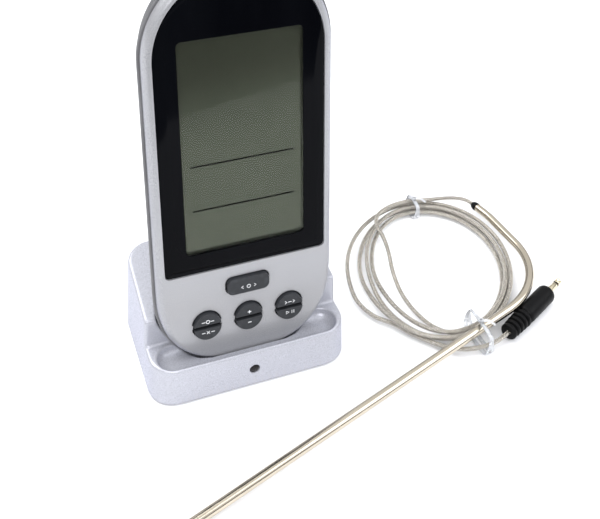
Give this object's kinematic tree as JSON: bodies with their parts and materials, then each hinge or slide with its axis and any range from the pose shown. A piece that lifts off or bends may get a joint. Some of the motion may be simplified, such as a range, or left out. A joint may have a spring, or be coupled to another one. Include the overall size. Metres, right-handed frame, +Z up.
{
  "type": "wireless meat thermometer",
  "caption": "Wireless meat thermometer: a round-topped receiver with a tall screen stands in its transmitter base, beside a bent steel probe on a coiled braided cable with a plug.",
  "frame": {"origin": "centre of the transmitter base's footprint, on the table it stands on", "axes": "+X to the right of the display, +Y away from the user, +Z up; the display faces -Y and leans back a little"},
  "size_m": [0.1764, 0.1193, 0.1503],
  "materials": {
    "silver_paint": "silver metallic paint on moulded plastic, satin",
    "dark_plastic": "charcoal moulded plastic, fine texture",
    "gloss_black": "high-gloss black face panel",
    "clear_screen": "clear acrylic window",
    "clear_tie": "clear plastic tie",
    "lcd_grey": "grey-green liquid crystal panel, unlit",
    "white_plastic": "white moulded plastic",
    "dark_rubber": "charcoal rubber, matt",
    "board_green": "green circuit board",
    "polished_steel": "polished stainless steel",
    "braided_steel": "woven stainless steel braid",
    "gold_plating": "pale gold plating on brass",
    "cell_wrap": "printed film wrap, plain",
    "dark_red_lens": "dark red tinted lens"
  },
  "bodies": {
    "base": {"base_housing": "silver_paint", "base_bottom_cover": "dark_plastic", "base_foot_pad": "dark_rubber", "base_screw_left": "polished_steel", "base_screw_right": "polished_steel", "base_circuit_board": "board_green", "indicator_led": "white_plastic", "indicator_lens": "dark_red_lens", "base_antenna": "gold_plating", "probe_jack": "dark_plastic", "power_switch_body": "dark_plastic", "base_cell_lower": "cell_wrap", "base_cell_upper": "cell_wrap", "base_spring_lower": "polished_steel", "base_spring_upper": "polished_steel", "base_contact_lower": "polished_steel", "base_contact_upper": "polished_steel"},
    "base_door": {"base_battery_door": "silver_paint"},
    "power_knob": {"power_switch_knob": "dark_plastic"},
    "receiver": {"receiver_front_shell": "silver_paint", "receiver_band": "dark_plastic", "receiver_back_shell": "dark_plastic", "display_bezel": "gloss_black", "display_window": "clear_screen", "lcd_panel": "lcd_grey", "lcd_frame": "white_plastic", "keypad_membrane": "dark_rubber", "receiver_circuit_board": "board_green", "buzzer": "dark_plastic", "receiver_antenna": "gold_plating", "receiver_cell_left": "cell_wrap", "receiver_cell_right": "cell_wrap", "receiver_spring_left": "polished_steel", "receiver_spring_right": "polished_steel", "receiver_contact_left": "polished_steel", "receiver_contact_right": "polished_steel", "receiver_screw_1": "polished_steel", "receiver_screw_2": "polished_steel", "receiver_screw_3": "polished_steel", "receiver_screw_4": "polished_steel"},
    "receiver_door": {"receiver_battery_door": "dark_plastic"},
    "button_mode_body": {"button_mode": "dark_rubber"},
    "button_left_upper_body": {"button_left_upper": "dark_rubber"},
    "button_left_lower_body": {"button_left_lower": "dark_rubber"},
    "button_centre_upper_body": {"button_centre_upper": "dark_rubber"},
    "button_centre_lower_body": {"button_centre_lower": "dark_rubber"},
    "button_right_upper_body": {"button_right_upper": "dark_rubber"},
    "button_right_lower_body": {"button_right_lower": "dark_rubber"},
    "probe_set": {"probe_shaft": "polished_steel", "probe_sensor": "white_plastic", "heat_shrink_collar": "dark_rubber", "braided_cable": "braided_steel", "twist_tie_rear": "clear_tie", "twist_tie_front": "clear_tie", "plug_body": "dark_rubber", "plug_sleeve": "gold_plating", "plug_insulator": "dark_rubber", "plug_tip": "gold_plating"}
  },
  "joints": [
    {"name": "base_door_hinge", "type": "hinge", "parent": "base", "child": "base_door", "pos_m": [0, 0.02442, 0.00459], "axis": [-1, 0, 0], "range_deg": [0, 80]},
    {"name": "power_switch_slide", "type": "slide", "parent": "base", "child": "power_knob", "axis": [0, 1, 0], "range_m": [0, 0.0025]},
    {"name": "receiver_lift", "type": "slide", "parent": "base", "child": "receiver", "axis": [0, 0.0967, 0.9953], "range_m": [0, 0.06]},
    {"name": "receiver_door_hinge", "type": "hinge", "parent": "receiver", "child": "receiver_door", "pos_m": [0, 0.0125, 0.11433], "axis": [1, 0, 0], "range_deg": [0, 75]},
    {"name": "button_mode_press", "type": "slide", "parent": "receiver", "child": "button_mode_body", "axis": [0, 0.9953, -0.0967], "range_m": [0, 0.0008]},
    {"name": "button_left_upper_press", "type": "slide", "parent": "receiver", "child": "button_left_upper_body", "axis": [0, 0.9953, -0.0967], "range_m": [0, 0.0008]},
    {"name": "button_left_lower_press", "type": "slide", "parent": "receiver", "child": "button_left_lower_body", "axis": [0, 0.9953, -0.0967], "range_m": [0, 0.0008]},
    {"name": "button_centre_upper_press", "type": "slide", "parent": "receiver", "child": "button_centre_upper_body", "axis": [0, 0.9953, -0.0967], "range_m": [0, 0.0008]},
    {"name": "button_centre_lower_press", "type": "slide", "parent": "receiver", "child": "button_centre_lower_body", "axis": [0, 0.9953, -0.0967], "range_m": [0, 0.0008]},
    {"name": "button_right_upper_press", "type": "slide", "parent": "receiver", "child": "button_right_upper_body", "axis": [0, 0.9953, -0.0967], "range_m": [0, 0.0008]},
    {"name": "button_right_lower_press", "type": "slide", "parent": "receiver", "child": "button_right_lower_body", "axis": [0, 0.9953, -0.0967], "range_m": [0, 0.0008]},
    {"name": "probe_lift", "type": "slide", "parent": "base", "child": "probe_set", "axis": [0, 0, 1], "range_m": [0, 0.06]}
  ]
}
